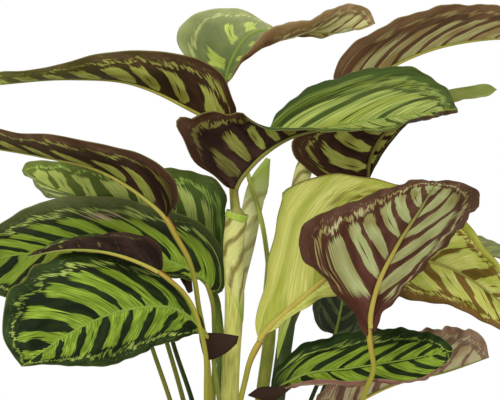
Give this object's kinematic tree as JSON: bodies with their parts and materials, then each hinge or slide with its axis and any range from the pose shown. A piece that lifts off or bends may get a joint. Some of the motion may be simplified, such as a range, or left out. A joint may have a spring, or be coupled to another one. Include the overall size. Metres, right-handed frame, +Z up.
{
  "type": "potted calathea",
  "caption": "Leafy prayer plant with feather-patterned, maroon-backed leaves on long stalks in a plain clay pot of soil.",
  "frame": {"origin": "middle of the pot's flat underside, on its axis", "axes": "+Z up along the pot's axis, -Y towards the side the plant is seen from, +X to the right from there"},
  "size_m": [0.688, 0.4879, 0.7646],
  "materials": {
    "blade_green": "satin living leaf, dark green with yellow-green feather marks",
    "blade_maroon": "soft satin leaf underside, maroon with olive marks",
    "blade_pale": "thin young leaf, pale yellow-green",
    "stalk": "smooth fleshy stalk, olive to yellow-green",
    "soil": "crumbly bark and peat mix, matte",
    "pot": "unglazed fired clay, matte"
  },
  "bodies": {
    "root": {"leaf_left_high": "blade_maroon", "leaf_left_middle": "blade_maroon", "leaf_centre": "blade_green", "leaf_centre_under": "blade_maroon", "leaf_right_high": "blade_maroon", "leaf_right_pale": "blade_pale", "leaf_front_right": "blade_maroon", "leaf_front_left": "blade_green", "leaf_front_maroon": "blade_maroon", "leaf_left_low": "blade_green", "leaf_left_upper": "blade_green", "leaf_lower_right": "blade_green", "leaf_lower_under": "blade_maroon", "leaf_back_small": "blade_green", "leaf_right_back": "blade_green", "leaf_top": "blade_green", "leaf_back_left_low": "blade_green", "leaf_back_left": "blade_green", "leaf_back_far": "blade_green", "leaf_back_right": "blade_green", "leaf_rolled": "blade_pale", "stalk_left_high": "stalk", "stalk_left_middle": "stalk", "stalk_centre": "stalk", "stalk_centre_under": "stalk", "stalk_right_high": "stalk", "stalk_right_pale": "stalk", "stalk_front_right": "stalk", "stalk_front_left": "stalk", "stalk_front_maroon": "stalk", "stalk_left_low": "stalk", "stalk_left_upper": "stalk", "stalk_lower_right": "stalk", "stalk_lower_under": "stalk", "stalk_back_small": "stalk", "stalk_right_back": "stalk", "stalk_top": "stalk", "stalk_back_left_low": "stalk", "stalk_back_left": "stalk", "stalk_back_far": "stalk", "stalk_back_right": "stalk", "stalk_rolled": "stalk", "soil": "soil", "pot": "pot"}
  },
  "joints": []
}
